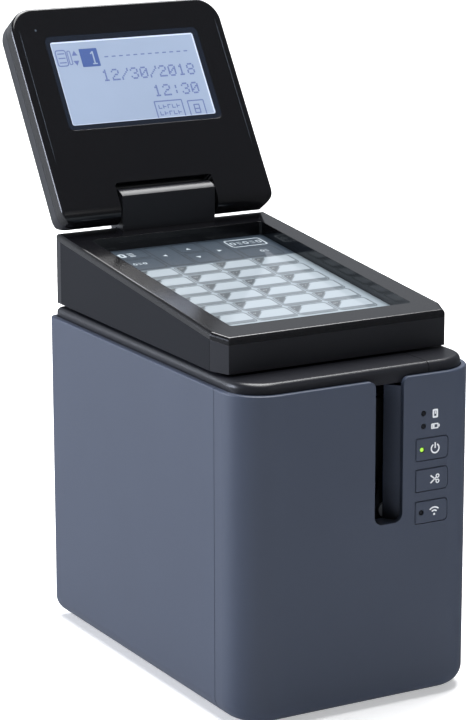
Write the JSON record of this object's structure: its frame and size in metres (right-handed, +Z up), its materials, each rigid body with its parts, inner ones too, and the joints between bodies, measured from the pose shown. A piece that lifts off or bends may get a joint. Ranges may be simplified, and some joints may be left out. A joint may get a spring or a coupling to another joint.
{
  "type": "label maker",
  "caption": "Desktop label printer with a grey case, front label slot and buttons, and a hinged tape cover that carries a touch key unit with a tilting display.",
  "frame": {"origin": "centre of the printer's footprint on the surface that its rubber feet stand on", "axes": "+X right seen from the front, +Y towards the back, +Z up; the label slot and buttons face -Y"},
  "size_m": [0.1184, 0.2401, 0.2805],
  "materials": {
    "grey_abs": "fine moulded texture, satin",
    "button_grey": "satin",
    "black_gloss_abs": "gloss",
    "black_satin_abs": "satin",
    "panel_grey_abs": "fine moulded texture",
    "inner_black_abs": "matt",
    "cassette_grey_ps": "satin",
    "spool_pom": "satin",
    "gear_pom": "satin",
    "rubber_black": "matt",
    "steel_plate": "zinc plated",
    "steel_bright": "ground",
    "motor_steel": "plated",
    "head_ceramic": "glazed ceramic",
    "head_aluminium": "cast",
    "tape_white": "laminated film",
    "board_green": "solder mask",
    "lcd_metal": "pressed frame",
    "socket_black": "matt",
    "socket_steel": "nickel plated",
    "switch_black": "matt",
    "clear_pmma": "clear"
  },
  "bodies": {
    "printer": {"base_cover": "grey_abs", "button_board": "board_green", "case_screws": "steel_bright", "cassette_lower": "cassette_grey_ps", "cassette_tub": "inner_black_abs", "cassette_upper": "cassette_grey_ps", "chassis_plate": "steel_plate", "cover_hinge_pins": "steel_bright", "cutter_frame": "steel_plate", "cutter_motor": "motor_steel", "deck_strip": "black_gloss_abs", "feed_motor": "motor_steel", "fixed_blade": "steel_bright", "front_cover": "grey_abs", "head_holder": "head_aluminium", "label_tape": "tape_white", "left_side_cover": "grey_abs", "light_pipes": "clear_pmma", "main_board": "board_green", "network_socket": "socket_steel", "power_inlet": "socket_black", "print_head": "head_ceramic", "rear_cover": "grey_abs", "right_side_cover": "grey_abs", "roller_bracket": "steel_plate", "rubber_feet": "rubber_black", "tact_switches": "switch_black", "usb_sockets": "socket_steel"},
    "power_button": {"power_button": "button_grey"},
    "cut_button": {"cut_button": "button_grey"},
    "wireless_button": {"wireless_button": "button_grey"},
    "release_button": {"release_button": "grey_abs"},
    "cover": {"tape_cover": "black_gloss_abs", "touch_base": "black_satin_abs", "touch_sides": "panel_grey_abs", "touch_fascia": "black_gloss_abs", "touch_bezel": "black_satin_abs", "touch_glass": "clear_pmma", "key_board": "board_green", "hinge_block": "black_satin_abs", "display_hinge_pins": "steel_bright"},
    "display": {"display_bezel": "black_gloss_abs", "display_shell": "black_satin_abs", "lcd_window": "clear_pmma", "lcd_module": "lcd_metal"},
    "platen": {"platen_shaft": "steel_bright", "platen_rubber": "rubber_black", "platen_gear": "gear_pom"},
    "feed_roller": {"feed_shaft": "steel_bright", "feed_rubber": "rubber_black", "feed_gear": "gear_pom"},
    "idler": {"idler_gear": "gear_pom"},
    "ribbon_idler": {"ribbon_idler_gear": "gear_pom"},
    "motor_rotor": {"motor_pinion": "steel_bright"},
    "takeup": {"takeup_spindle": "spool_pom", "takeup_spool": "spool_pom"},
    "tape_supply": {"tape_roll": "tape_white"},
    "ribbon_supply": {"ribbon_spool": "spool_pom"},
    "cutter": {"moving_blade": "steel_bright"},
    "cutter_rotor": {"cutter_pinion": "steel_bright"}
  },
  "joints": [
    {"name": "cover_open", "type": "hinge", "parent": "printer", "child": "cover", "pos_m": [0, 0.0882, 0.1482], "axis": [-1, 0, 0], "range_deg": [0, 75]},
    {"name": "display_tilt", "type": "hinge", "parent": "cover", "child": "display", "pos_m": [0, 0.088, 0.1919], "axis": [1, 0, 0], "range_deg": [-12, 127]},
    {"name": "power_press", "type": "slide", "parent": "printer", "child": "power_button", "axis": [0, 1, 0], "range_m": [0, 0.0008], "stiffness_N_per_m": 600},
    {"name": "cut_press", "type": "slide", "parent": "printer", "child": "cut_button", "axis": [0, 1, 0], "range_m": [0, 0.0008], "stiffness_N_per_m": 600},
    {"name": "wireless_press", "type": "slide", "parent": "printer", "child": "wireless_button", "axis": [0, 1, 0], "range_m": [0, 0.0008], "stiffness_N_per_m": 600},
    {"name": "release_press", "type": "slide", "parent": "printer", "child": "release_button", "axis": [-1, 0, 0], "range_m": [0, 0.002], "stiffness_N_per_m": 600},
    {"name": "platen_spin", "type": "hinge", "parent": "printer", "child": "platen", "pos_m": [0.0188, -0.0444, 0.1015], "axis": [0, 0, 1], "continuous": true},
    {"name": "feed_spin", "type": "hinge", "parent": "printer", "child": "feed_roller", "pos_m": [0.01825, -0.06689, 0.1015], "axis": [0, 0, 1], "continuous": true},
    {"name": "idler_spin", "type": "hinge", "parent": "printer", "child": "idler", "pos_m": [0.0368, -0.05705, 0.0815], "axis": [0, 0, 1], "continuous": true},
    {"name": "ribbon_idler_spin", "type": "hinge", "parent": "printer", "child": "ribbon_idler", "pos_m": [0.0008, -0.0444, 0.0815], "axis": [0, 0, 1], "continuous": true},
    {"name": "motor_spin", "type": "hinge", "parent": "printer", "child": "motor_rotor", "pos_m": [0.0368, -0.03905, 0.0815], "axis": [0, 0, 1], "continuous": true},
    {"name": "takeup_spin", "type": "hinge", "parent": "printer", "child": "takeup", "pos_m": [-0.0172, -0.0444, 0.1015], "axis": [0, 0, 1], "continuous": true},
    {"name": "tape_roll_spin", "type": "hinge", "parent": "printer", "child": "tape_supply", "pos_m": [-0.013, 0.009, 0.1015], "axis": [0, 0, 1], "continuous": true},
    {"name": "ribbon_supply_spin", "type": "hinge", "parent": "printer", "child": "ribbon_supply", "pos_m": [-0.037, -0.0444, 0.1015], "axis": [0, 0, 1], "continuous": true},
    {"name": "cutter_swing", "type": "hinge", "parent": "printer", "child": "cutter", "pos_m": [0.016, -0.0803, 0.0855], "axis": [0, -1, 0], "range_deg": [0, 15]},
    {"name": "cutter_motor_spin", "type": "hinge", "parent": "printer", "child": "cutter_rotor", "pos_m": [0.0035, -0.0803, 0.06385], "axis": [0, -1, 0], "range_deg": [-60, 0]}
  ],
  "couplings": [
    {"joint": "feed_spin", "follows": "platen_spin", "ratio": 1.1111},
    {"joint": "idler_spin", "follows": "platen_spin", "ratio": -0.83333},
    {"joint": "motor_spin", "follows": "platen_spin", "ratio": 1.6667},
    {"joint": "ribbon_idler_spin", "follows": "platen_spin", "ratio": -1.25},
    {"joint": "takeup_spin", "follows": "platen_spin", "ratio": 1},
    {"joint": "tape_roll_spin", "follows": "platen_spin", "ratio": -0.2625},
    {"joint": "ribbon_supply_spin", "follows": "platen_spin", "ratio": 0.9},
    {"joint": "cutter_motor_spin", "follows": "cutter_swing", "ratio": -4}
  ]
}
